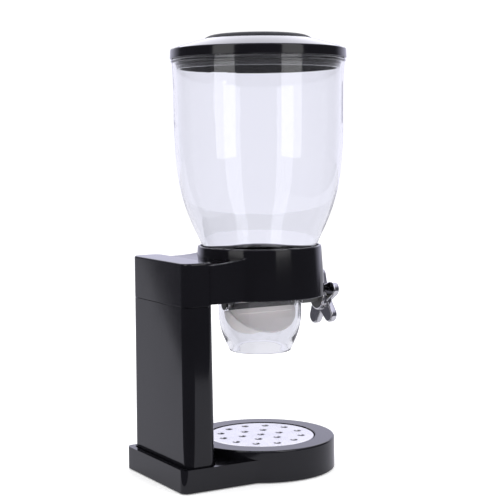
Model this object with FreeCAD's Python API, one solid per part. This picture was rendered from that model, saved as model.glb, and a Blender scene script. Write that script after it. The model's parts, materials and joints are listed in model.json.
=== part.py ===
import FreeCAD, Part
import math
import os

from FreeCAD import Vector

# Single-canister cereal dispenser, in millimetres. +Z is up and the front, with the knob and the tray, is -Y.
# Everything is drawn about the canister's axis (x = y = 0, table at z = 0) and moved by SHIFT_Y when it is
# written out, so that the origin ends up at the centre of the whole object's footprint, on the table.

# ---------------------------------------------------------------- driving dimensions
# Base
PLINTH_HALF_WIDTH = 55.8
PLINTH_BACK = 108.8
PLINTH_TOP = 20.9
PLINTH_CORNER = 6.0
RING_RADIUS = 66.7
RING_TOP = 28.9
BASE_WALL = 2.6
SHELL_BOTTOM = 1.0
WELL_FLOOR = 11.4
PLATE_RADIUS = 48.5
PLATE_TOP = 28.5
PLATE_LEDGE = 25.1

# Column and head
COLUMN_HALF_WIDTH = 51.4
COLUMN_FRONT = 75.1
COLUMN_BACK = 102.8
COLUMN_CORNER = 8.0
COLUMN_DRAFT = 0.0071
COLUMN_BOTTOM = 11.7
SEAM_Z = 156.7
HEAD_TOP = 194.0
ARM_TOP = 191.3
ARM_CREST = 196.0
ARM_HALF_WIDTH = 49.6
ARM_TAPER = 0.25
ARM_HUG = 3.5       # how far the arm's root reaches back round the head's corners
ARM_RISE = 1.5      # how much higher the arm's underside is at the column than at the collar
STAND_WALL = 2.6

# Collar
COLLAR_BOTTOM = 157.0
COLLAR_TOP = 202.0
COLLAR_BOTTOM_RADIUS = 58.7
COLLAR_TOP_RADIUS = 55.6
COLLAR_BORE = 53.2
COLLAR_FLOOR = 2.8

# Canister and lid
CANISTER_WALL = 2.2
CANISTER_BOTTOM = 188.8
CANISTER_NECK = 51.8
CANISTER_RIM = 372.6
LID_RADIUS = 78.5
LID_BOTTOM = 367.9
LID_SHOULDER = 376.6
LID_WALL = 2.0
GRIP_RADIUS = 48.2
GRIP_BASE = 385.2
LID_TOP = 390.4
LINER_BOTTOM = 359.0
LINER_RADIUS = 72.6

# Chute, paddle wheel and knob
CHUTE_RADIUS = 37.5
CHUTE_WALL = 2.0
CHUTE_BOTTOM = 106.6
SHAFT_Z = 150.0
SHAFT_RADIUS = 3.0
WHEEL_RADIUS = 34.6
CHAMBER_RADIUS = 35.4
PADDLES = 5
PADDLE_PHASE = -26.0
PADDLE_THICKNESS = 2.2
KNOB_CENTRE_Y = -67.0
KNOB_HALF_DEPTH = 3.4
KNOB_REACH = 27.5
KNOB_LOBES = 5
KNOB_PHASE = 9.0

FIT = 0.05          # radial running clearance of the shaft
GAP = 0.3           # gap between pieces that come apart
SHIFT_Y = -(PLINTH_BACK - LID_RADIUS) / 2

parts = {}


# ---------------------------------------------------------------- helpers
def cylinder(radius, low, high, x=0.0, y=0.0):
    """Upright cylinder from z = low to z = high."""
    return Part.makeCylinder(radius, high - low, Vector(x, y, low))


def cylinder_y(radius, back, front, x=0.0, z=SHAFT_Z):
    """Cylinder along Y from y = front (the lower value) to y = back."""
    return Part.makeCylinder(radius, back - front, Vector(x, front, z), Vector(0, 1, 0))


def block(x0, x1, y0, y1, z0, z1):
    return Part.makeBox(x1 - x0, y1 - y0, z1 - z0, Vector(x0, y0, z0))


def fuse(first, *others):
    """One solid from pieces that touch or overlap."""
    return first.fuse(list(others)).removeSplitter()


def cut(first, *others):
    return first.cut(list(others))


def profile(start, *steps):
    """Closed outline in the XZ plane. A step is a point for a line, a pair of points for an arc through the
    first to the second, or a list of points for a smooth curve through them."""
    def at(p):
        return Vector(p[0], 0, p[1])
    edges = []
    here = start
    ends_at_start = isinstance(steps[-1], tuple) and steps[-1][-1] == start
    for step in steps if ends_at_start else steps + (start,):
        if isinstance(step, list):
            curve = Part.BSplineCurve()
            curve.interpolate([at(here)] + [at(p) for p in step])
            edges.append(curve.toShape())
            here = step[-1]
        elif isinstance(step[0], tuple):
            edges.append(Part.Arc(at(here), at(step[0]), at(step[1])).toShape())
            here = step[1]
        else:
            edges.append(Part.makeLine(at(here), at(step)))
            here = step
    return Part.Wire(edges)


def turned(start, *steps):
    """Solid of revolution about the canister's axis."""
    face = Part.Face(profile(start, *steps))
    return face.revolve(Vector(0, 0, 0), Vector(0, 0, 1), 360)


def rounded_wire(half_width, front, back, radius, z):
    """Rectangle with rounded corners, symmetric about x = 0."""
    w = half_width
    r = radius
    d = r * (1 - math.sqrt(0.5))
    lines = [
        ((-w + r, front), (w - r, front)),
        ((w, front + r), (w, back - r)),
        ((w - r, back), (-w + r, back)),
        ((-w, back - r), (-w, front + r)),
    ]
    mids = [(w - d, front + d), (w - d, back - d), (-w + d, back - d), (-w + d, front + d)]
    edges = []
    for i, (a, b) in enumerate(lines):
        c = lines[(i + 1) % 4][0]
        m = mids[i]
        edges.append(Part.makeLine(Vector(a[0], a[1], z), Vector(b[0], b[1], z)))
        edges.append(Part.Arc(Vector(b[0], b[1], z), Vector(m[0], m[1], z), Vector(c[0], c[1], z)).toShape())
    return Part.Wire(edges)


def rounded_block(half_width, front, back, radius, low, high):
    face = Part.Face(rounded_wire(half_width, front, back, radius, low))
    return face.extrude(Vector(0, 0, high - low))


def column_draft(z):
    """How far the column's sides and front have spread at height z, below the seam."""
    return COLUMN_DRAFT * (SEAM_Z - z)


def column_block(grow, low, high):
    """The column's outline, grown by a margin, between two heights."""
    wires = []
    for z in (low, high):
        spread = column_draft(z)
        wires.append(rounded_wire(COLUMN_HALF_WIDTH + spread + grow, COLUMN_FRONT - spread - grow,
                                  COLUMN_BACK + grow, COLUMN_CORNER + grow, z))
    return Part.makeLoft(wires, True, True)


def fillet(shape, radius, chosen):
    """Rounds the edges for which chosen(edge) is true."""
    edges = [e for e in shape.Edges if chosen(e)]
    return shape.makeFillet(radius, edges)


def level(z, within=0.05):
    """Picks the edges that lie flat at height z."""
    return lambda e: abs(e.BoundBox.ZMin - z) < within and abs(e.BoundBox.ZMax - z) < within


def screw(x, y, seat, tip, head_radius, head_height, radius, up=True):
    """Pan-head screw on a vertical axis. Its head lies under seat when up is true, and on it otherwise."""
    if up:
        head = fillet(cylinder(head_radius, seat - head_height, seat, x, y), 0.6, level(seat - head_height))
        shank = cylinder(radius, seat, tip, x, y)
        slot = block(x - head_radius, x + head_radius, y - 0.4, y + 0.4, seat - head_height, seat - head_height + 0.8)
    else:
        head = fillet(cylinder(head_radius, seat, seat + head_height, x, y), 0.6, level(seat + head_height))
        shank = cylinder(radius, tip, seat, x, y)
        slot = block(x - head_radius, x + head_radius, y - 0.4, y + 0.4, seat + head_height - 0.8, seat + head_height)
    return cut(fuse(head, shank), slot)


def group(solids):
    return Part.makeCompound(solids)


def mirrored(points):
    """Each (x, y) place, and its mirror image in x = 0."""
    return [(sx * x, y) for x, y in points for sx in (-1, 1)]


# ---------------------------------------------------------------- base
COVER_BOTTOM = 2.0
COVER_TOP = 4.4
COVER_SCREWS = mirrored([(41.0, -41.0), (46.0, 60.0)])
FEET = {
    "foot_front_left": (-40.0, -30.0),
    "foot_front_right": (40.0, -30.0),
    "foot_rear_left": (-42.0, 94.0),
    "foot_rear_right": (42.0, 94.0),
}
FOOT_RADIUS = 8.0
FOOT_STUD = 3.0
COLUMN_SCREWS = mirrored([(28.0, 89.0)])
SOCKET_FLOOR_BOTTOM = 8.0
SOCKET_FLOOR_TOP = 11.5
WELL_WALL = 2.4


def base_outline(inset, low, high):
    """Plan of the base, pulled in by inset: the plinth's rectangle joined to the tray's circle."""
    plinth = rounded_block(PLINTH_HALF_WIDTH - inset, 0.0, PLINTH_BACK - inset, PLINTH_CORNER - inset, low, high)
    square_front = block(-PLINTH_HALF_WIDTH + inset, PLINTH_HALF_WIDTH - inset, 0.0, 30.0, low, high)
    return fuse(plinth, square_front, cylinder(RING_RADIUS - inset, low, high))


def make_base_shell():
    joint_y = math.sqrt(RING_RADIUS ** 2 - PLINTH_HALF_WIDTH ** 2)
    lower = base_outline(0.0, SHELL_BOTTOM, PLINTH_TOP)

    def blend_edge(e):
        b = e.BoundBox
        return b.ZLength > 10 and b.XLength < 0.1 and abs(b.YMin - joint_y) < 0.5
    lower = fillet(lower, 10.0, blend_edge)
    ring = cylinder(RING_RADIUS, SHELL_BOTTOM, RING_TOP)
    shell = fuse(lower, ring)

    well_bottom = WELL_FLOOR - WELL_WALL
    well_outer = PLATE_RADIUS + 0.9 + WELL_WALL
    under = base_outline(BASE_WALL, SHELL_BOTTOM - 1, well_bottom)
    plinth_void = cut(
        rounded_block(PLINTH_HALF_WIDTH - BASE_WALL, 0.0, PLINTH_BACK - BASE_WALL, 3.4,
                      well_bottom, PLINTH_TOP - BASE_WALL),
        cylinder(well_outer, well_bottom, PLINTH_TOP),
    )
    ring_void = cut(
        cylinder(RING_RADIUS - BASE_WALL, well_bottom, RING_TOP - BASE_WALL),
        cylinder(well_outer, well_bottom, RING_TOP),
    )
    well = fuse(
        cylinder(PLATE_RADIUS - 2.2, WELL_FLOOR, PLATE_LEDGE + 0.1),
        cylinder(PLATE_RADIUS + 0.9, PLATE_LEDGE, RING_TOP + 1),
    )
    shell = cut(shell, under, plinth_void, ring_void, well)

    bosses = [cylinder(3.6, COVER_TOP, 19.5 if y > 0 else 27.5, x, y) for x, y in COVER_SCREWS]
    shell = fuse(shell, column_block(2.8, SOCKET_FLOOR_BOTTOM, 18.6), *bosses)
    pocket = column_block(0.25, SOCKET_FLOOR_TOP, PLINTH_TOP + 1)
    shadow_recess = column_block(1.3, PLINTH_TOP - 2.4, PLINTH_TOP + 1)
    holes = [cylinder(1.8, SOCKET_FLOOR_BOTTOM - 1, SOCKET_FLOOR_TOP + 1, x, y) for x, y in COLUMN_SCREWS]
    holes += [cylinder(1.55, COVER_TOP - 1, 15.0, x, y) for x, y in COVER_SCREWS]
    shell = cut(shell, pocket, shadow_recess, *holes)
    shell = fillet(shell, 1.8, lambda e: level(RING_TOP)(e) and abs(e.BoundBox.XMax - RING_RADIUS) < 0.1)
    shell = fillet(shell, 0.8, lambda e: level(RING_TOP)(e) and abs(e.BoundBox.XMax - PLATE_RADIUS - 0.9) < 0.1)
    return shell


def make_base_cover():
    cover = base_outline(BASE_WALL + GAP, COVER_BOTTOM, COVER_TOP)
    holes = [cylinder(FOOT_STUD, COVER_BOTTOM - 1, COVER_TOP + 1, x, y) for x, y in FEET.values()]
    for x, y in COVER_SCREWS:
        holes.append(cylinder(1.7, COVER_BOTTOM - 1, COVER_TOP + 1, x, y))
        holes.append(Part.makeCone(3.2, 1.7, 1.5, Vector(x, y, COVER_BOTTOM)))
    vents = [block(-24, 24, y - 1.2, y + 1.2, COVER_BOTTOM - 1, COVER_TOP + 1) for y in (-12, 0, 12, 24)]
    return cut(cover, *(holes + vents))


def make_cover_screws():
    made = []
    for x, y in COVER_SCREWS:
        head = Part.makeCone(3.0, 1.5, 1.5, Vector(x, y, COVER_BOTTOM + 0.1))
        shank = cylinder(1.5, COVER_BOTTOM + 1.6, 14.0, x, y)
        cross = [block(x - a, x + a, y - b, y + b, 2.0, 2.9) for a, b in ((1.6, 0.3), (0.3, 1.6))]
        made.append(cut(fuse(head, shank), *cross))
    return group(made)


def make_foot(x, y):
    pad = fillet(cylinder(FOOT_RADIUS, 0.0, COVER_BOTTOM, x, y), 0.5, level(0.0))
    return fuse(pad, cylinder(FOOT_STUD - FIT, COVER_BOTTOM, COVER_TOP, x, y))


parts["base_shell"] = make_base_shell()
parts["base_cover"] = make_base_cover()
parts["base_screws"] = make_cover_screws()
for name, (x, y) in FEET.items():
    parts[name] = make_foot(x, y)


# ---------------------------------------------------------------- drip plate
HOLE_RINGS = [(0.0, 1), (18.3, 6), (36.75, 12)]
HOLE_PHASE = 22.7
HOLE_RADIUS = 2.7
DIMPLE_RADIUS = 3.6
PLATE_GAUGE = 1.0


def hole_places():
    """Centres of the plate's holes: one in the middle and two rings."""
    places = []
    for radius, count in HOLE_RINGS:
        for i in range(count):
            a = math.radians(HOLE_PHASE + 360.0 * i / count)
            places.append((radius * math.cos(a), radius * math.sin(a)))
    return places


def make_drip_plate():
    """Pressed disc with a turned-down rim and dimpled holes."""
    r = PLATE_RADIUS
    top = PLATE_TOP
    low = PLATE_LEDGE + GAP
    bend = 1.4
    plate = turned(
        (0, top), (r - bend, top), ((r - 0.41, top - 0.41), (r, top - bend)), (r, low),
        (r - PLATE_GAUGE, low), (r - PLATE_GAUGE, top - PLATE_GAUGE), (0, top - PLATE_GAUGE),
    )
    collars = [cylinder(DIMPLE_RADIUS + 0.5, top - 1.7, top - 0.5, x, y) for x, y in hole_places()]
    plate = fuse(plate, *collars)
    tools = []
    for x, y in hole_places():
        tools.append(cylinder(HOLE_RADIUS, top - 4, top + 1, x, y))
        tools.append(Part.makeCone(HOLE_RADIUS, DIMPLE_RADIUS, 1.2, Vector(x, y, top - 1.2)))
    return cut(plate, *tools)


parts["drip_plate"] = make_drip_plate()


# ---------------------------------------------------------------- column and head
HEAD_BOSSES = mirrored([(38.0, 83.5), (38.0, 94.5)])
TOP_PLATE = (148.0, 151.0)
ARM_SCREWS = [(sx * 28.0, z) for sx in (-1, 1) for z in (163.4, 185.2)]


def make_column():
    shaft = column_block(0.0, COLUMN_BOTTOM, SEAM_Z)
    inside = column_block(-STAND_WALL, COLUMN_BOTTOM + 3.0, SEAM_Z + 1)
    plate = column_block(-STAND_WALL + 0.5, *TOP_PLATE)
    bosses = [cylinder(5.0, COLUMN_BOTTOM + 2.5, 32.0, x, y) for x, y in COLUMN_SCREWS]
    ribs = [block(x - 1.2, x + 1.2, COLUMN_FRONT + 1, COLUMN_BACK - 1, COLUMN_BOTTOM + 2, 146.0) for x in (-14, 14)]
    body = fuse(cut(shaft, inside), plate, *(bosses + ribs))
    holes = [cylinder(1.65, COLUMN_BOTTOM - 1, 28.0, x, y) for x, y in COLUMN_SCREWS]
    holes += [cylinder(1.8, TOP_PLATE[0] - 1, TOP_PLATE[1] + 1, x, y) for x, y in HEAD_BOSSES]
    return cut(body, *holes)


def make_head_cover():
    low = SEAM_Z + 0.35
    outer = rounded_block(COLUMN_HALF_WIDTH, COLUMN_FRONT, COLUMN_BACK, COLUMN_CORNER, low, HEAD_TOP)
    outer = fillet(outer, 1.6, level(HEAD_TOP))
    outer = fillet(outer, 0.4, level(low))
    w = STAND_WALL
    inside = rounded_block(COLUMN_HALF_WIDTH - w, COLUMN_FRONT + w, COLUMN_BACK - w, COLUMN_CORNER - w,
                           low - 1, HEAD_TOP - w)
    bosses = [cylinder(4.0, TOP_PLATE[1] + 0.1, HEAD_TOP - 1, x, y) for x, y in HEAD_BOSSES]
    body = fuse(cut(outer, inside), *bosses)
    holes = [cylinder(1.5, TOP_PLATE[1] - 1, 166.0, x, y) for x, y in HEAD_BOSSES]
    holes += [cylinder_y(1.8, COLUMN_FRONT + w + 1, COLUMN_FRONT - 1, x, z) for x, z in ARM_SCREWS]
    return cut(body, *holes)


def make_arm_screw(x, z):
    """Pan-head screw along Y, from inside the head cover into the arm."""
    seat = COLUMN_FRONT + STAND_WALL
    head = cylinder_y(3.0, seat + 2.2, seat, x, z)
    slot = block(x - 3, x + 3, seat + 1.4, seat + 3, z - 0.4, z + 0.4)
    return cut(fuse(head, cylinder_y(1.6, seat, 62.0, x, z)), slot)


def arm_outline(inset, back):
    """Plan of the arm: it narrows from the column towards the collar."""
    front = 10.0
    wide = ARM_HALF_WIDTH - inset + ARM_TAPER * (back - COLUMN_FRONT)
    narrow = wide - ARM_TAPER * (back - front)
    points = [(-wide, back), (-narrow, front), (narrow, front), (wide, back), (-wide, back)]
    return Part.Face(Part.makePolygon([Vector(x, y, 0) for x, y in points]))


def arm_block(inset, back):
    """The arm's solid. Its top climbs gently from the column and curls up where it meets the collar."""
    low = COLLAR_BOTTOM + inset
    plan = arm_outline(inset, back)
    plan.translate(Vector(0, 0, low))
    prism = plan.extrude(Vector(0, 0, 60))
    crest_y = 36.0

    def at(y, z):
        return Vector(-60, y, z)
    curve = Part.BSplineCurve()
    curve.interpolate([
        at(back, ARM_TOP - inset), at(56.0, ARM_TOP + 1.3 - inset), at(45.0, ARM_TOP + 2.6 - inset),
        at(crest_y, ARM_CREST - inset)])
    side = Part.Wire([
        curve.toShape(),
        Part.makeLine(at(crest_y, ARM_CREST - inset), at(5, ARM_CREST - inset)),
        Part.makeLine(at(5, ARM_CREST - inset), at(5, 0)),
        Part.makeLine(at(5, 0), at(back, 0)),
        Part.makeLine(at(back, 0), at(back, ARM_TOP - inset)),
    ])
    return prism.common(Part.Face(side).extrude(Vector(120, 0, 0)))


def collar_radius(z):
    """Outer radius of the collar, which leans in a little towards its top."""
    share = (z - COLLAR_BOTTOM) / (COLLAR_TOP - COLLAR_BOTTOM)
    return COLLAR_BOTTOM_RADIUS + (COLLAR_TOP_RADIUS - COLLAR_BOTTOM_RADIUS) * share


def make_collar_arm():
    lip = COLLAR_TOP - 1.4
    collar = turned(
        (0, COLLAR_BOTTOM),
        (COLLAR_BOTTOM_RADIUS, COLLAR_BOTTOM),
        (collar_radius(lip), lip),
        ((collar_radius(lip) - 0.45, COLLAR_TOP - 0.35), (collar_radius(lip) - 1.4, COLLAR_TOP)),
        (0, COLLAR_TOP),
    )
    body = fuse(collar, arm_block(0.0, COLUMN_FRONT + ARM_HUG))

    def root_edge(e):
        b = e.BoundBox
        return b.ZLength > 25 and abs(abs(b.Center.x) - 41) < 4 and abs(b.Center.y - 40) < 6
    body = fillet(body, 5.0, root_edge)
    body = fillet(body, 1.0, lambda e: level(COLLAR_BOTTOM)(e) and e.BoundBox.YMin < COLUMN_FRONT - 1)

    def top_edge(e):
        b = e.BoundBox
        return b.ZMin > ARM_TOP - 0.1 and b.ZLength < 8 and b.YMax > COLUMN_FRONT and b.YLength > 20
    body = fillet(body, 1.4, top_edge)
    wedge = [(50, -1), (50, 0), (82, ARM_RISE), (82, -1), (50, -1)]
    wedge = Part.makePolygon([Vector(-60, y, COLLAR_BOTTOM + z) for y, z in wedge])
    rise = Part.Face(wedge).extrude(Vector(120, 0, 0))
    head = rounded_block(COLUMN_HALF_WIDTH + 0.1, COLUMN_FRONT, COLUMN_BACK, COLUMN_CORNER + 0.1,
                         COLLAR_BOTTOM - 5, COLLAR_TOP)
    cavity = cut(arm_block(STAND_WALL, COLUMN_FRONT), cylinder(COLLAR_BOTTOM_RADIUS + 1, COLLAR_BOTTOM, COLLAR_TOP))
    bore = cylinder(COLLAR_BORE, COLLAR_BOTTOM + COLLAR_FLOOR, COLLAR_TOP + 1)
    mouth = cylinder(CHUTE_RADIUS + GAP, COLLAR_BOTTOM - 1, COLLAR_TOP)
    body = cut(body, head, rise, cavity, bore, mouth)
    bosses = [
        cut(cylinder_y(4.0, COLUMN_FRONT, 56.0, x, z), cylinder(COLLAR_BORE, COLLAR_BOTTOM, COLLAR_TOP))
        for x, z in ARM_SCREWS
    ]
    body = fuse(body, *bosses)
    holes = [cylinder_y(1.65, COLUMN_FRONT + 1, 61.0, x, z) for x, z in ARM_SCREWS]
    holes += [cylinder(1.25, COLLAR_BOTTOM + 0.9, COLLAR_BOTTOM + 4, x, y) for x, y in chute_screw_places()]
    return cut(body, *holes)


CHUTE_SCREW_CIRCLE = 45.6


def chute_screw_places():
    turns = [math.radians(90 + 120 * i) for i in range(3)]
    return [(CHUTE_SCREW_CIRCLE * math.cos(a), CHUTE_SCREW_CIRCLE * math.sin(a)) for a in turns]


parts["column"] = make_column()
parts["column_screws"] = group(
    [screw(x, y, SOCKET_FLOOR_BOTTOM, 26.0, 3.2, 2.4, 1.6) for x, y in COLUMN_SCREWS])
parts["head_cover"] = make_head_cover()
parts["head_screws"] = group([screw(x, y, TOP_PLATE[0], 163.0, 3.2, 2.4, 1.45) for x, y in HEAD_BOSSES])
parts["arm_screws"] = group([make_arm_screw(x, z) for x, z in ARM_SCREWS])
parts["collar_arm"] = make_collar_arm()


# ---------------------------------------------------------------- funnel and chute
FLANGE_BOTTOM = COLLAR_BOTTOM + COLLAR_FLOOR + 0.1
FLANGE_TOP = FLANGE_BOTTOM + 2.4
FLANGE_RADIUS = 43.0
THROAT_RADIUS = 27.0


def chamber_r(z, radius=CHAMBER_RADIUS):
    """Radius of the round paddle chamber at height z."""
    return math.sqrt(radius ** 2 - (z - SHAFT_Z) ** 2)


def make_hopper_funnel():
    """Funnel over the paddle wheel. Its lower wall is a band of a sphere about the middle of the shaft."""
    ledge = CANISTER_BOTTOM - GAP
    outer = COLLAR_BORE - 0.25
    wall = 2.0
    shell_r = CHAMBER_RADIUS + wall
    throat_z = SHAFT_Z + math.sqrt(CHAMBER_RADIUS ** 2 - THROAT_RADIUS ** 2)
    foot_z = FLANGE_TOP + 0.05
    knee_z = throat_z - 2.4
    mid_z = (throat_z + foot_z) / 2
    outer_mid_z = (knee_z + foot_z) / 2
    return turned(
        (THROAT_RADIUS, throat_z),
        (outer - 3.4, ledge),
        (outer, ledge),
        (outer, FLANGE_BOTTOM),
        (outer - 2.0, FLANGE_BOTTOM),
        (outer - 2.0, ledge - 2.6),
        (chamber_r(knee_z, shell_r), knee_z),
        ((chamber_r(outer_mid_z, shell_r), outer_mid_z), (chamber_r(foot_z, shell_r), foot_z)),
        (chamber_r(foot_z), foot_z),
        ((chamber_r(mid_z), mid_z), (THROAT_RADIUS, throat_z)),
    )


def make_chute():
    """Clear outlet: a round tube that closes in to a thick-lipped mouth."""
    r = CHUTE_RADIUS
    t = CHUTE_WALL
    low = CHUTE_BOTTOM
    tube = turned(
        (r - t, FLANGE_TOP),
        (FLANGE_RADIUS, FLANGE_TOP),
        (FLANGE_RADIUS, FLANGE_BOTTOM),
        (r, FLANGE_BOTTOM),
        (r, 140.0),
        [(r - 0.9, 132.0), (r - 3.6, 121.5), (r - 7.6, 112.0), (r - 9.4, low + 1.6)],
        ((r - 10.6, low), (r - 12.2, low + 1.4)),
        [(r - 10.4, 113.0), (r - t - 3.9, 122.0), (r - t - 0.9, 132.0), (r - t, 140.0)],
    )
    bores = [cylinder_y(6.0 + FIT, -30.0, -45.0), cylinder_y(4.6 + FIT, 45.0, 30.0)]
    return cut(tube, *bores)


def make_chute_ring():
    low = COLLAR_BOTTOM + COLLAR_FLOOR
    top = FLANGE_TOP + 2.2
    ring = turned(
        (FLANGE_RADIUS + 0.2, low), (48.6, low), (48.6, top), (39.5, top), (39.5, FLANGE_TOP + 0.05),
        (FLANGE_RADIUS + 0.2, FLANGE_TOP + 0.05),
    )
    return cut(ring, *[cylinder(1.5, low - 1, top + 1, x, y) for x, y in chute_screw_places()])


parts["hopper_funnel"] = make_hopper_funnel()
parts["chute"] = make_chute()
parts["chute_ring"] = make_chute_ring()
parts["chute_screws"] = group([
    screw(x, y, FLANGE_TOP + 2.2, COLLAR_BOTTOM + 1.0, 2.6, 1.8, 1.2, up=False) for x, y in chute_screw_places()])


# ---------------------------------------------------------------- shaft, bushes and paddle wheel
SHAFT_REAR = 35.8
SHAFT_FRONT = -68.2
HUB_RADIUS = 7.0
HUB_HALF_LENGTH = 29.5
CLIP_Y = -43.2
STEM_RADIUS = 4.2


def make_drive_shaft():
    rod = cylinder_y(SHAFT_RADIUS, SHAFT_REAR, SHAFT_FRONT)
    groove = cut(cylinder_y(SHAFT_RADIUS + 1, CLIP_Y + 0.45, CLIP_Y - 0.45),
                 cylinder_y(SHAFT_RADIUS - 0.6, CLIP_Y + 0.45, CLIP_Y - 0.45))
    flat = block(-5, 5, SHAFT_FRONT - 1, SHAFT_FRONT + 10, SHAFT_Z + SHAFT_RADIUS - 0.7, SHAFT_Z + 5)
    return cut(rod, groove, flat)


def paddle_angle(i):
    """Turn of paddle i about the shaft, counted from straight down."""
    return PADDLE_PHASE + 360.0 * i / PADDLES


def about_shaft(shape, degrees):
    turned_shape = shape.copy()
    turned_shape.rotate(Vector(0, 0, SHAFT_Z), Vector(0, 1, 0), degrees)
    return turned_shape


def paddle_root():
    """The thick bead that slides into the hub."""
    return block(-2.0, 2.0, -HUB_HALF_LENGTH + 3, HUB_HALF_LENGTH - 3, SHAFT_Z - 6.2, SHAFT_Z - 4.2)


def make_paddle():
    """Soft half-disc vane, pointing down, with a thicker root along the hub and a thin flexible edge."""
    ball = Part.makeSphere(WHEEL_RADIUS, Vector(0, 0, SHAFT_Z))
    half = PADDLE_THICKNESS / 2
    web = block(-half, half, -WHEEL_RADIUS, WHEEL_RADIUS, SHAFT_Z - WHEEL_RADIUS, SHAFT_Z - HUB_RADIUS - 0.1)
    web = web.common(ball)
    web = cut(web, cylinder_y(HUB_RADIUS + 0.1, 40, -40))
    neck = block(-half, half, -HUB_HALF_LENGTH + 3, HUB_HALF_LENGTH - 3, SHAFT_Z - HUB_RADIUS - 1.5, SHAFT_Z - 5.0)
    shoulder = Part.makeSphere(WHEEL_RADIUS - 4, Vector(0, 0, SHAFT_Z)).common(
        block(-1.9, 1.9, -WHEEL_RADIUS, WHEEL_RADIUS, SHAFT_Z - 12.5, SHAFT_Z - HUB_RADIUS - 0.4))
    return fuse(web, shoulder, neck, paddle_root())


def make_paddle_hub():
    hub = cylinder_y(HUB_RADIUS, HUB_HALF_LENGTH, -HUB_HALF_LENGTH)
    tools = [cylinder_y(SHAFT_RADIUS + FIT, 40, -40)]
    half = PADDLE_THICKNESS / 2
    slot = fuse(
        block(-half, half, -HUB_HALF_LENGTH + 3, HUB_HALF_LENGTH - 3, SHAFT_Z - 9, SHAFT_Z - 5),
        paddle_root())
    tools += [about_shaft(slot, paddle_angle(i)) for i in range(PADDLES)]
    return cut(hub, *tools)


parts["drive_shaft"] = make_drive_shaft()
parts["paddle_hub"] = make_paddle_hub()
for i in range(PADDLES):
    parts["paddle_%d" % (i + 1)] = about_shaft(make_paddle(), paddle_angle(i))
parts["front_bush"] = cut(
    fuse(cylinder_y(6.0, -34.6, -39.4), cylinder_y(4.4, -39.4, -42.2)), cylinder_y(SHAFT_RADIUS + FIT, 0, -50))
parts["rear_bush"] = cut(
    fuse(cylinder_y(4.6, 37.4, 34.4), cylinder_y(3.6, 37.9, 37.4)), cylinder_y(SHAFT_RADIUS + FIT, 35.9, 0))
parts["shaft_clip"] = cut(
    cylinder_y(4.3, CLIP_Y + 0.4, CLIP_Y - 0.4), cylinder_y(SHAFT_RADIUS - 0.55, 0, -50),
    block(-1.6, 1.6, -50, 0, SHAFT_Z - 6, SHAFT_Z))


# ---------------------------------------------------------------- knob
KNOB_BACK = KNOB_CENTRE_Y + KNOB_HALF_DEPTH
KNOB_FRONT = KNOB_CENTRE_Y - KNOB_HALF_DEPTH
BOSS_BACK = -60.6
BOSS_RADIUS = 11.4
LOBE_TIP = 7.0
LOBE_ROOT = 9.4
INSERT_RADIUS = 9.6
CAP_RADIUS = 9.0
CAP_FRONT = KNOB_FRONT - 1.6


def lobe_outline(y):
    """Outline of one lobe in the plane across the shaft at y, pointing up: two tapering flanks and a round tip."""
    tip = LOBE_TIP
    root = LOBE_ROOT
    tip_z = KNOB_REACH - LOBE_TIP
    lean = math.asin((root - tip) / tip_z)
    dx = math.cos(lean)
    dz = math.sin(lean)

    def at(x, z):
        return Vector(x, y, SHAFT_Z + z)
    right_low = at(root * dx, root * dz)
    right_high = at(tip * dx, tip_z + tip * dz)
    left_high = at(-tip * dx, tip_z + tip * dz)
    left_low = at(-root * dx, root * dz)
    return Part.Wire([
        Part.makeLine(right_low, right_high),
        Part.Arc(right_high, at(0, tip_z + tip), left_high).toShape(),
        Part.makeLine(left_high, left_low),
        Part.makeLine(left_low, right_low),
    ])


def lobe_block(back, front):
    """One lobe between two planes across the shaft."""
    return Part.Face(lobe_outline(front)).extrude(Vector(0, back - front, 0))


def rim_at(y):
    """Picks the edges that lie flat in the plane across the shaft at y."""
    return lambda e: e.BoundBox.YLength < 0.01 and abs(e.BoundBox.YMin - y) < 0.01


def lobe_angle(i):
    return KNOB_PHASE + 360.0 * i / KNOB_LOBES


def make_knob_star():
    """Plated knob: a round boss behind, five tapering lobes and a bore for the insert."""
    lobes = [about_shaft(lobe_block(KNOB_BACK, KNOB_FRONT), lobe_angle(i)) for i in range(KNOB_LOBES)]
    star = fuse(*lobes)
    star = fillet(star, 1.3, rim_at(KNOB_BACK))
    star = fillet(star, 2.6, rim_at(KNOB_FRONT))
    boss = cylinder_y(BOSS_RADIUS, BOSS_BACK, KNOB_CENTRE_Y + 1)
    boss = fillet(boss, 1.6, rim_at(BOSS_BACK))
    return cut(fuse(star, boss), cylinder_y(INSERT_RADIUS, 0, KNOB_FRONT + 1.2))


def make_knob_insert():
    """Plastic insert that carries the plated star on the shaft's flat end."""
    insert = cylinder_y(INSERT_RADIUS - FIT, BOSS_BACK, KNOB_FRONT + 1.25)
    insert = fillet(insert, 0.8, rim_at(BOSS_BACK))
    socket = cut(
        cylinder_y(SHAFT_RADIUS + FIT, 0, SHAFT_FRONT - 0.3),
        block(-5, 5, SHAFT_FRONT - 1, SHAFT_FRONT + 9.9, SHAFT_Z + SHAFT_RADIUS - 0.65, SHAFT_Z + 5),
    )
    return cut(insert, socket)


def make_knob_stem():
    """Sleeve that covers the shaft between the chute and the knob."""
    return cut(cylinder_y(STEM_RADIUS, CLIP_Y - 1.2, BOSS_BACK), cylinder_y(SHAFT_RADIUS + FIT, 0, -100))


def make_knob_cap():
    """Domed cap on the middle of the knob's front."""
    return fillet(cylinder_y(CAP_RADIUS, KNOB_FRONT, CAP_FRONT), 1.5, rim_at(CAP_FRONT))


parts["knob_star"] = make_knob_star()
parts["knob_insert"] = make_knob_insert()
parts["knob_stem"] = make_knob_stem()
parts["knob_cap"] = make_knob_cap()


# ---------------------------------------------------------------- canister
BEAD_LOW = 364.4
BEAD_HIGH = 367.5
BEAD_RADIUS = 77.8
MOUTH_RADIUS = 76.3


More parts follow.
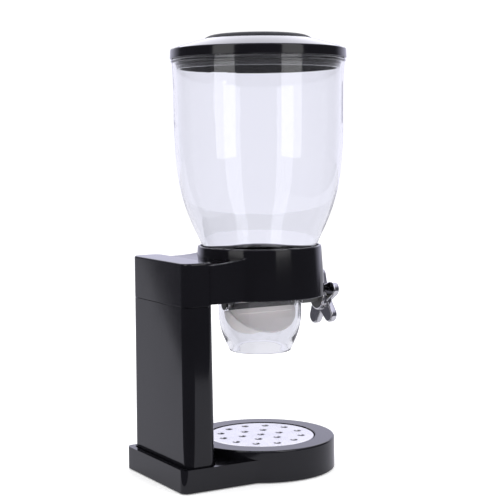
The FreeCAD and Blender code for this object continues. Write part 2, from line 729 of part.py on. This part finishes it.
def make_canister():
    """Clear hopper: almost straight above, a long bell curve below, and a straight neck in the collar."""
    body = [(54.4, 208.5), (60.9, 223.0), (68.9, 246.0), (73.3, 270.0), (75.5, 305.0), (76.8, BEAD_LOW)]
    t = CANISTER_WALL
    inner = [(r - t * (1.25 if z < 230 else 1.0), z - (1.2 if z < 260 else 0.0)) for r, z in reversed(body)]
    return turned(
        (CANISTER_NECK - t, CANISTER_BOTTOM),
        (CANISTER_NECK, CANISTER_BOTTOM),
        (CANISTER_NECK, 202.5),
        body,
        ((BEAD_RADIUS, (BEAD_LOW + BEAD_HIGH) / 2), (MOUTH_RADIUS, BEAD_HIGH)),
        (MOUTH_RADIUS, CANISTER_RIM - 1.1),
        ((MOUTH_RADIUS - 1.1, CANISTER_RIM), (MOUTH_RADIUS - t, CANISTER_RIM - 1.1)),
        (MOUTH_RADIUS - t, BEAD_HIGH),
        inner[0],
        inner[1:] + [(CANISTER_NECK - t, 201.0)],
    )


parts["canister"] = make_canister()


# ---------------------------------------------------------------- lid
SEAT_Z = GRIP_BASE - 2.4
LINER_RIBS = 12


def make_lid_cap():
    """Shallow conical lid with a short skirt and a round seat for the grip in its middle."""
    r = LID_RADIUS
    t = LID_WALL
    seat_r = GRIP_RADIUS + GAP
    under = LID_SHOULDER - t - 0.4
    return turned(
        (r - t + 0.2, LID_BOTTOM),
        (r - 0.4, LID_BOTTOM),
        (r, LID_BOTTOM + 0.4),
        (r - 0.3, LID_SHOULDER - 1.4),
        ((r - 0.6, LID_SHOULDER - 0.6), (r - 1.6, LID_SHOULDER)),
        ((63.0, 381.3), (seat_r, GRIP_BASE)),
        (seat_r, SEAT_Z),
        (0, SEAT_Z),
        (0, SEAT_Z - t),
        (seat_r + t, SEAT_Z - t),
        ((62.5, 379.0), (r - t - 3.0, under)),
        (r - t + 0.2, under),
    )


def make_lid_grip():
    """Raised pillow-shaped centre, with two scooped finger recesses that leave a bar across it."""
    r = GRIP_RADIUS
    low = SEAT_Z + 0.05
    dome = turned(
        (0, low), (r, low), (r, GRIP_BASE), [(45.0, 387.3), (36.0, 389.2), (20.0, 390.2), (0, LID_TOP)],
    )
    floor = low + 1.6
    bar_half = 9.0
    scoop = cut(cylinder(37.0, floor, LID_TOP + 1), block(-60, 60, -bar_half, bar_half, floor - 1, LID_TOP + 2))
    scoop = fillet(scoop, 4.0, lambda e: e.BoundBox.XLength < 0.1 and e.BoundBox.YLength < 0.1)
    scoop = fillet(scoop, 1.2, level(floor))
    grip = cut(dome, scoop)
    return grip


def make_lid_liner():
    """Plug under the lid: a ring wall open below, a groove for the gasket and small guide ribs."""
    top = LID_SHOULDER - LID_WALL - 0.5
    groove = (362.0, 364.6)
    r = LINER_RADIUS
    t = 1.8
    plug = turned(
        (0, top - t), (r - t - 1.0, top - t), (r - t - 1.0, LINER_BOTTOM), (r - 1.0, LINER_BOTTOM),
        ((r - 0.3, LINER_BOTTOM + 0.3), (r, LINER_BOTTOM + 1.0)),
        (r, groove[0]), (r - 1.0, groove[0]), (r - 1.0, groove[1]), (r, groove[1]), (r, top), (0, top),
    )
    rib = block(r - 0.5, r + 0.9, -0.6, 0.6, groove[1] + 0.8, LID_BOTTOM)
    ribs = []
    for i in range(LINER_RIBS):
        one = rib.copy()
        one.rotate(Vector(0, 0, 0), Vector(0, 0, 1), 360.0 * i / LINER_RIBS + 8)
        ribs.append(one)
    return fuse(plug, *ribs)


def make_lid_gasket():
    """Ring with a soft lip that wipes the canister's wall."""
    r = LINER_RADIUS
    mid = 363.3
    return turned(
        (r - 0.95, 362.1), (r + 0.1, 362.1), (r + 1.1, mid - 0.5), (r + 1.1, mid + 0.1), (r + 0.1, 364.5),
        (r - 0.95, 364.5),
    )


parts["lid_cap"] = make_lid_cap()
parts["lid_grip"] = make_lid_grip()
parts["lid_liner"] = make_lid_liner()
parts["lid_gasket"] = make_lid_gasket()


# ---------------------------------------------------------------- output
os.makedirs("parts", exist_ok=True)
for name, shape in parts.items():
    placed = shape.copy()
    placed.translate(Vector(0, SHIFT_Y, 0))
    placed.exportStep("parts/%s.step" % name)
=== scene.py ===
import json
import math

import bpy
from mathutils import Matrix, Vector


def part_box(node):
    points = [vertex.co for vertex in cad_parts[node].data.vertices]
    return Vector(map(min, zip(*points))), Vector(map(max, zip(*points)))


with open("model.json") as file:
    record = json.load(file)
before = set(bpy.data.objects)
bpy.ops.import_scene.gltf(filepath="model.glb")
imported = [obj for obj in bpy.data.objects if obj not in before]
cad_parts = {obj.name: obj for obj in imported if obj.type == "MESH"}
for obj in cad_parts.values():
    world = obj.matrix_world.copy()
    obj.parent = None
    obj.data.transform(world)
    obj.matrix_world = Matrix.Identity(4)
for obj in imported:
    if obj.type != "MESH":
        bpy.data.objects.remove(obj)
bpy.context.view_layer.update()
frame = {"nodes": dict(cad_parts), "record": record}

# The canister's axis, about which the collar, chute, lid and tray are round.
CANISTER_LOW, CANISTER_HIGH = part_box("canister")
AXIS_X = (CANISTER_LOW.x + CANISTER_HIGH.x) / 2
AXIS_Y = (CANISTER_LOW.y + CANISTER_HIGH.y) / 2


# ---------------------------------------------------------------- camera
CAMERA_AZIMUTH = -120.804      # degrees round the axis, from the front
CAMERA_DISTANCE = 1.17868      # metres from the axis
CAMERA_HEIGHT = 0.29816
CAMERA_PITCH = 4.8699          # degrees below the horizon
CAMERA_YAW = 0.6349
CAMERA_ROLL = -0.4832
LENS = 94.74                   # mm
SENSOR_WIDTH = 36.0            # mm


def make_camera():
    """The camera that was fitted to the photograph's outlines."""
    azimuth = math.radians(CAMERA_AZIMUTH)
    facing = azimuth + math.radians(CAMERA_YAW)
    pitch = math.radians(CAMERA_PITCH)
    roll = math.radians(CAMERA_ROLL)
    level = math.cos(pitch)
    forward = Vector((-math.sin(facing) * level, math.cos(facing) * level, -math.sin(pitch)))
    right = forward.cross(Vector((0, 0, 1))).normalized()
    up = right.cross(forward)
    right, up = (math.cos(roll) * right + math.sin(roll) * up,
                 math.cos(roll) * up - math.sin(roll) * right)
    camera = bpy.data.objects.new("camera", bpy.data.cameras.new("camera"))
    camera.data.sensor_width = SENSOR_WIDTH
    camera.data.lens = LENS
    turn = Matrix((right, up, -forward)).transposed().to_4x4()
    place = Vector((AXIS_X + math.sin(azimuth) * CAMERA_DISTANCE, AXIS_Y - math.cos(azimuth) * CAMERA_DISTANCE,
                    CAMERA_HEIGHT))
    camera.matrix_world = Matrix.Translation(place) @ turn
    bpy.context.scene.collection.objects.link(camera)
    bpy.context.scene.camera = camera


# ---------------------------------------------------------------- node trees
class Tree:
    """A node tree written as calls: make() adds a node, and an input given a socket is linked to it."""

    def __init__(self, owner):
        owner.use_nodes = True
        self.tree = owner.node_tree
        self.tree.nodes.clear()

    def make(self, kind, inputs=None, **settings):
        node = self.tree.nodes.new(kind)
        for name, value in settings.items():
            setattr(node, name, value)
        for name, value in (inputs or {}).items():
            socket = node.inputs[name]
            if isinstance(value, bpy.types.NodeSocket):
                self.tree.links.new(value, socket)
            else:
                socket.default_value = value
        return node

    def object_place(self, scale=(1, 1, 1)):
        """The piece's own coordinates, in metres, stretched by scale."""
        own = self.make("ShaderNodeTexCoord").outputs["Object"]
        return self.make("ShaderNodeMapping", {"Vector": own, "Scale": scale}).outputs["Vector"]

    def height(self, vector):
        return self.make("ShaderNodeSeparateXYZ", {0: vector}).outputs["Z"]

    def noise(self, scale, detail=3.0, vector=None):
        place = vector or self.object_place()
        node = self.make("ShaderNodeTexNoise", {"Vector": place, "Scale": scale, "Detail": detail})
        return node.outputs["Fac"]

    def spread(self, value, low, high, start=0.35, end=0.65):
        """Maps a value from start..end to low..high, held at both ends."""
        node = self.make("ShaderNodeMapRange", {"Value": value, "From Min": start, "From Max": end,
                                                "To Min": low, "To Max": high})
        return node.outputs["Result"]

    def math(self, operation, first, second):
        return self.make("ShaderNodeMath", {0: first, 1: second}, operation=operation).outputs["Value"]

    def vector_math(self, operation, *values, output="Vector"):
        return self.make("ShaderNodeVectorMath", dict(enumerate(values)), operation=operation).outputs[output]

    def mix_colour(self, share, first, second):
        """Mixes two colours. Inputs 6 and 7 and output 2 are the Mix node's colour sockets."""
        node = self.make("ShaderNodeMix", {"Factor": share, 6: first, 7: second}, data_type="RGBA")
        return node.outputs[2]

    def ray_kinds(self):
        """The shares of mirrored rays and of rays bent through a clear wall, which also count as glossy."""
        path = self.make("ShaderNodeLightPath").outputs
        bent = path["Is Transmission Ray"]
        return self.math("SUBTRACT", path["Is Glossy Ray"], bent), bent

    def bump(self, height, distance, strength=1.0, under=None):
        inputs = {"Height": height, "Distance": distance, "Strength": strength}
        if under is not None:
            inputs["Normal"] = under
        return self.make("ShaderNodeBump", inputs).outputs["Normal"]

    def principled(self, **inputs):
        named = {name.replace("_", " "): value for name, value in inputs.items()}
        shader = self.make("ShaderNodeBsdfPrincipled", named)
        self.make("ShaderNodeOutputMaterial", {"Surface": shader.outputs["BSDF"]})


def grey(value, tint=(1.0, 1.0, 1.0)):
    return (value * tint[0], value * tint[1], value * tint[2], 1.0)


def material(name):
    made = bpy.data.materials.new(name)
    return made, Tree(made)


# ---------------------------------------------------------------- materials
BLUISH = (1, 0.97, 1.3)
WARM = (1.03, 1.0, 0.985)
PAINTED_VANE_GLOW = 0.16                   # painted light: a faint glow that brightens the silicone vanes, though silicone gives no light
CHROME_LEAN = 0.06                 # slope added to the shading of plated faces, as a rise over a run
HOLE_SHADE_FADE = (0.0272, 0.0282)  # metres up, between which the plate's hole walls end and its sheet begins; below it the steel is painted dark as shade


def gloss_black():
    """Polished moulded plastic with faint flow marks, sink waviness and fine hairline scratches."""
    made, t = material("look_gloss_black")
    cloud = t.noise(9.0, detail=4.0)
    hair = t.noise(1.0, detail=2.0, vector=t.object_place((1400, 1400, 35)))
    scratches = t.spread(hair, 0.0, 0.05, 0.62, 0.75)
    roughness = t.math("ADD", t.spread(cloud, 0.07, 0.13), scratches)
    colour = t.mix_colour(t.noise(26.0), grey(0.0032, BLUISH), grey(0.0050, BLUISH))
    sink = t.bump(t.noise(14.0, detail=1.0), 0.00012, 0.35)
    peel = t.bump(t.noise(900.0, detail=2.0), 0.00001, 0.35, under=sink)
    t.principled(Base_Color=colour, Roughness=roughness, Normal=peel, IOR=1.5)
    return made


def satin_black():
    """Soft-touch black of the lid's grip, with a fine spark-eroded grain."""
    made, t = material("look_satin_black")
    grain = t.noise(2600.0, detail=3.0)
    cloud = t.noise(30.0)
    colour = t.mix_colour(cloud, grey(0.006), grey(0.011))
    t.principled(Base_Color=colour, Roughness=t.spread(cloud, 0.5, 0.62),
                 Normal=t.bump(grain, 0.00006, 0.5), IOR=1.42)
    return made


def clear_plastic():
    """Clear styrene with a faint cool tint, slightly uneven as moulded walls are."""
    made, t = material("look_clear_plastic")
    wave = t.noise(11.0, detail=1.0)
    colour = t.mix_colour(wave, (0.925, 0.930, 0.962, 1), (0.940, 0.945, 0.972, 1))
    t.principled(Base_Color=colour, Roughness=t.spread(t.noise(40.0), 0.0, 0.03),
                 Normal=t.bump(wave, 0.0012, 0.25), IOR=1.49, Transmission_Weight=1.0)
    return made


def silicone():
    """Warm grey silicone with a dusty matte skin, brightened by a faint painted glow."""
    made, t = material("look_silicone")
    cloud = t.noise(60.0, detail=5.0)
    colour = t.mix_colour(cloud, grey(0.86, (1.04, 1.0, 0.98)), grey(0.93, WARM))
    # the emission is painted light, a glow that makes the vanes look more brightly lit
    t.principled(Base_Color=colour, Roughness=t.spread(cloud, 0.42, 0.6),
                 Normal=t.bump(t.noise(1500.0), 0.00004, 0.4), IOR=1.41, Subsurface_Weight=0.12,
                 Subsurface_Scale=0.004, Emission_Color=grey(1.0, WARM), Emission_Strength=PAINTED_VANE_GLOW)
    return made


def rubber(name="look_rubber"):
    """Matt black rubber with a dusty, slightly mottled skin."""
    made, t = material(name)
    cloud = t.noise(70.0, detail=5.0)
    colour = t.mix_colour(cloud, grey(0.010), grey(0.022))
    t.principled(Base_Color=colour, Roughness=t.spread(cloud, 0.65, 0.85),
                 Normal=t.bump(t.noise(1800.0), 0.00008, 0.6), IOR=1.45)
    return made


def chrome():
    """Bright plating with soft ripples and faint finger smudges, shaded as if its faces leaned a little."""
    made, t = material("look_chrome")
    smudge = t.spread(t.noise(90.0, detail=5.0), 0.025, 0.11)
    lean = t.bump(t.math("MULTIPLY", t.height(t.object_place()), -CHROME_LEAN), 1.0)
    ripple = t.bump(t.noise(55.0, detail=1.0), 0.0004, 0.3, under=lean)
    colour = t.mix_colour(t.noise(40.0), grey(0.74), grey(0.82, (1, 0.995, 0.985)))
    t.principled(Base_Color=colour, Metallic=1.0, Roughness=smudge, Normal=ripple)
    return made


def spun_steel():
    """Bright satin sheet with very fine marks that run round its middle, and painted shade on the walls of its
    holes.
    """
    made, t = material("look_spun_steel")
    own = t.make("ShaderNodeTexCoord").outputs["Object"]
    from_axis = t.vector_math("ADD", own, (-AXIS_X, -AXIS_Y, 0))
    flat = t.vector_math("MULTIPLY", from_axis, (1, 1, 0))
    radius = t.vector_math("LENGTH", flat, output="Value")
    millimetres = t.math("MULTIPLY", radius, 1000.0)
    rings = t.make("ShaderNodeTexNoise", {"W": millimetres, "Scale": 3.0, "Detail": 4.0},
                   noise_dimensions="1D").outputs["Fac"]
    cloud = t.noise(45.0, detail=4.0)
    roughness = t.math("ADD", t.spread(rings, 0.24, 0.36), t.spread(cloud, -0.03, 0.04))
    sheet = t.mix_colour(rings, grey(0.66), grey(0.78))
    # painted shade: below the top of the sheet the steel turns near black, darkening the walls of the holes
    colour = t.mix_colour(t.spread(t.height(own), 0.0, 1.0, *HOLE_SHADE_FADE), grey(0.03), sheet)
    t.principled(Base_Color=colour, Metallic=1.0, Roughness=roughness, Normal=t.bump(rings, 0.00003, 0.35))
    return made


def zinc_steel():
    """Plated screws, shaft and clip."""
    made, t = material("look_zinc_steel")
    cloud = t.noise(220.0, detail=5.0)
    lines = t.noise(1.0, vector=t.object_place((2200, 60, 2200)))
    colour = t.mix_colour(cloud, grey(0.48), grey(0.62, (1, 1, 0.97)))
    t.principled(Base_Color=colour, Metallic=1.0, Roughness=t.spread(cloud, 0.26, 0.42),
                 Normal=t.bump(lines, 0.00002, 0.5))
    return made


def grey_plastic():
    """Plain moulded acetal of the bushes, hub and stem."""
    made, t = material("look_grey_plastic")
    cloud = t.noise(120.0, detail=4.0)
    colour = t.mix_colour(cloud, grey(0.075), grey(0.10, (1, 1, 1.03)))
    t.principled(Base_Color=colour, Roughness=t.spread(cloud, 0.34, 0.48),
                 Normal=t.bump(t.noise(1300.0), 0.00003, 0.5), IOR=1.48)
    return made


LOOKS = {
    "black_plastic": gloss_black(),
    "grip_plastic": satin_black(),
    "clear_plastic": clear_plastic(),
    "silicone": silicone(),
    "foot_rubber": rubber(),
    "chrome": chrome(),
    "plate_steel": spun_steel(),
    "steel": zinc_steel(),
    "grey_plastic": grey_plastic(),
}

OWN_LOOKS = {
    "lid_gasket": rubber("look_gasket"),
}


def dress_frame():
    """Gives every CAD node the finish of its own material slot, or its own look where it has one."""
    for part in frame["record"]["subparts"]:
        node = frame["nodes"][part["node"]]
        node.data.materials.clear()
        node.data.materials.append(OWN_LOOKS.get(part["node"]) or LOOKS[part["material_slot"]])


# ---------------------------------------------------------------- studio
COOL = (0.96, 0.95, 1.18)                     # the cool cast of what the glossy parts mirror
PALE = (0.985, 0.98, 1.04)                    # the fainter cast of the white backdrop

BACKDROP_WAY = Vector((0.859, -0.512, 0.0))   # from the object towards the white backdrop
BACKDROP_EDGE = (0.52, 0.80)                  # cosines of the angles from that way, between which it fades in
CEILING_EDGE = (0.35, 0.9)                    # sines of the heights, between which the white ceiling fades in

FLOOR_RADIUS = 3.0
FLOOR_SIDES = 96

FLAG_HEIGHT = 0.0006                          # just over the table
BACK_FLAG_SLOPE = 0.45                        # of its slanting edge, as Y over X
BACK_FLAG_CROSSING = 0.146                    # Y of that edge at X = 0
BACK_FLAG_TURN = -1.5                         # X where the edge stops slanting
BACK_FLAG_END = 3.5
LEFT_FLAG_WAY = Vector((-0.882, -0.471, 0.0))
LEFT_FLAG_REACH = (0.57, 3.2)                 # along that way
LEFT_FLAG_SPAN = (-0.6, 3.0)                  # across it

STRIP_ANGLES = (-42.0, 42.0)                  # degrees each side of the camera
STRIP_DISTANCE = 0.5
STRIP_WIDTH = 0.24
STRIP_LOW = 0.212
STRIP_HIGH = 1.1
STRIP_RADIANCE = 1.45

SOFTBOX_DISTANCE = 1.3
SOFTBOX_HEIGHT = 1.05
SOFTBOX_SIZE = (1.8, 0.8)
SOFTBOX_TARGET = (0, 0, 0.35)
SOFTBOX_RADIANCE = 1.2


def hide_from(obj, *rays):
    for ray in rays:
        setattr(obj, "visible_" + ray, False)


def make_world():
    """White to the eye. In reflections only the backdrop's side and the ceiling are white, and through clear
    walls the other sides are a little dimmer."""
    world = bpy.data.worlds.new("studio")
    bpy.context.scene.world = world
    t = Tree(world)
    way = t.make("ShaderNodeTexCoord").outputs["Generated"]
    towards = t.vector_math("DOT_PRODUCT", way, BACKDROP_WAY, output="Value")
    back = t.spread(towards, 0.0, 1.0, *BACKDROP_EDGE)
    top = t.spread(t.height(way), 0.0, 1.0, *CEILING_EDGE)
    share = t.math("MAXIMUM", back, top)
    in_mirrors = t.mix_colour(share, grey(0.078, COOL), grey(0.96, COOL))
    through_walls = t.mix_colour(share, grey(0.75, PALE), grey(1.0, PALE))
    mirrored, bent = t.ray_kinds()
    colour = t.mix_colour(mirrored, t.mix_colour(bent, grey(1.05), through_walls), in_mirrors)
    background = t.make("ShaderNodeBackground", {"Color": colour, "Strength": 1.0})
    t.make("ShaderNodeOutputWorld", {"Surface": background.outputs["Background"]})
    world.cycles.sampling_method = "NONE"


def add_mesh(name, points, faces):
    mesh = bpy.data.meshes.new(name)
    mesh.from_pydata(points, [], faces)
    obj = bpy.data.objects.new(name, mesh)
    bpy.context.scene.collection.objects.link(obj)
    return obj


def make_floor():
    """A pale round light table, slightly mottled, dimmer through clear walls and dimmest in reflections."""
    points = [(0, 0, 0)]
    for i in range(FLOOR_SIDES):
        a = 2 * math.pi * i / FLOOR_SIDES
        points.append((FLOOR_RADIUS * math.cos(a), FLOOR_RADIUS * math.sin(a), 0))
    faces = [(0, i + 1, (i + 1) % FLOOR_SIDES + 1) for i in range(FLOOR_SIDES)]
    floor = add_mesh("floor", points, faces)
    made, t = material("look_floor")
    cloth = t.mix_colour(t.noise(3.0), grey(0.90), grey(0.93))
    mirrored, bent = t.ray_kinds()
    colour = t.mix_colour(mirrored, t.mix_colour(bent, cloth, grey(0.55, PALE)), grey(0.30, COOL))
    t.principled(Base_Color=colour, Roughness=0.8, Emission_Color=grey(1.0), Emission_Strength=0.3)
    floor.data.materials.append(made)


def back_flag_outline():
    """As wide as the table, from a slanting edge behind the stand to the table's far side."""
    turn_y, end_y = (BACK_FLAG_CROSSING + BACK_FLAG_SLOPE * x for x in (BACK_FLAG_TURN, FLOOR_RADIUS))
    return [(BACK_FLAG_TURN, turn_y), (FLOOR_RADIUS, end_y), (FLOOR_RADIUS, BACK_FLAG_END),
            (-FLOOR_RADIUS, BACK_FLAG_END), (-FLOOR_RADIUS, turn_y)]


def left_flag_outline():
    """A rectangle over the far end of the table on the stand's left."""
    way = LEFT_FLAG_WAY
    side = Vector((-way.y, way.x, 0))
    near, far = (way * reach for reach in LEFT_FLAG_REACH)
    start, end = (side * span for span in LEFT_FLAG_SPAN)
    corners = (near + start, near + end, far + end, far + start)
    return [(corner.x, corner.y) for corner in corners]


def make_flags():
    """Dark cloths just over the table, seen only in reflections."""
    made, t = material("look_flag")
    shade = t.make("ShaderNodeEmission", {"Color": grey(0.09, COOL), "Strength": 1.0})
    t.make("ShaderNodeOutputMaterial", {"Surface": shade.outputs["Emission"]})
    for name, outline in (("flag_behind", back_flag_outline()), ("flag_left", left_flag_outline())):
        points = [(x, y, FLAG_HEIGHT) for x, y in outline]
        flag = add_mesh(name, points, [tuple(range(len(points)))])
        flag.data.materials.append(made)
        hide_from(flag, "camera", "diffuse", "transmission", "shadow", "volume_scatter")


def add_area(name, place, target, width, height, radiance):
    """A softbox that shows in mirrorings, but not when looked at straight through a clear wall."""
    light = bpy.data.lights.new(name, "AREA")
    light.shape = "RECTANGLE"
    light.size = width
    light.size_y = height
    light.energy = radiance * math.pi * width * height
    obj = bpy.data.objects.new(name, light)
    obj.location = place
    obj.rotation_euler = (Vector(target) - Vector(place)).to_track_quat("-Z", "Y").to_euler()
    hide_from(obj, "camera")
    t = Tree(light)
    path = t.make("ShaderNodeLightPath").outputs
    unmirrored = t.math("LESS_THAN", path["Glossy Depth"], 0.5)
    refracted = t.math("GREATER_THAN", path["Transmission Depth"], 0.5)
    strength = t.math("SUBTRACT", 1.0, t.math("MULTIPLY", refracted, unmirrored))
    glow = t.make("ShaderNodeEmission", {"Color": grey(1.0), "Strength": strength})
    t.make("ShaderNodeOutputLight", {"Surface": glow.outputs["Emission"]})
    bpy.context.scene.collection.objects.link(obj)


def make_lights():
    """A tall strip on each side of the camera, and a wide softbox high up in front of the backdrop."""
    middle = (STRIP_LOW + STRIP_HIGH) / 2
    tall = STRIP_HIGH - STRIP_LOW
    for name, turn in zip(("strip_left", "strip_right"), STRIP_ANGLES):
        a = math.radians(CAMERA_AZIMUTH + turn)
        place = (AXIS_X + STRIP_DISTANCE * math.sin(a), AXIS_Y - STRIP_DISTANCE * math.cos(a), middle)
        add_area(name, place, (AXIS_X, AXIS_Y, middle), STRIP_WIDTH, tall, STRIP_RADIANCE)
    far = BACKDROP_WAY * SOFTBOX_DISTANCE
    add_area("back_softbox", (far.x, far.y, SOFTBOX_HEIGHT), SOFTBOX_TARGET, *SOFTBOX_SIZE, SOFTBOX_RADIANCE)


def set_view():
    scene = bpy.context.scene
    scene.view_settings.view_transform = "Standard"
    scene.view_settings.look = "None"
    scene.cycles.use_denoising = True
    scene.cycles.max_bounces = 16
    scene.cycles.transmission_bounces = 16
    scene.cycles.glossy_bounces = 6
    scene.cycles.diffuse_bounces = 4
    scene.cycles.sample_clamp_indirect = 4.0


make_camera()
dress_frame()
make_world()
make_floor()
make_flags()
make_lights()
set_view()
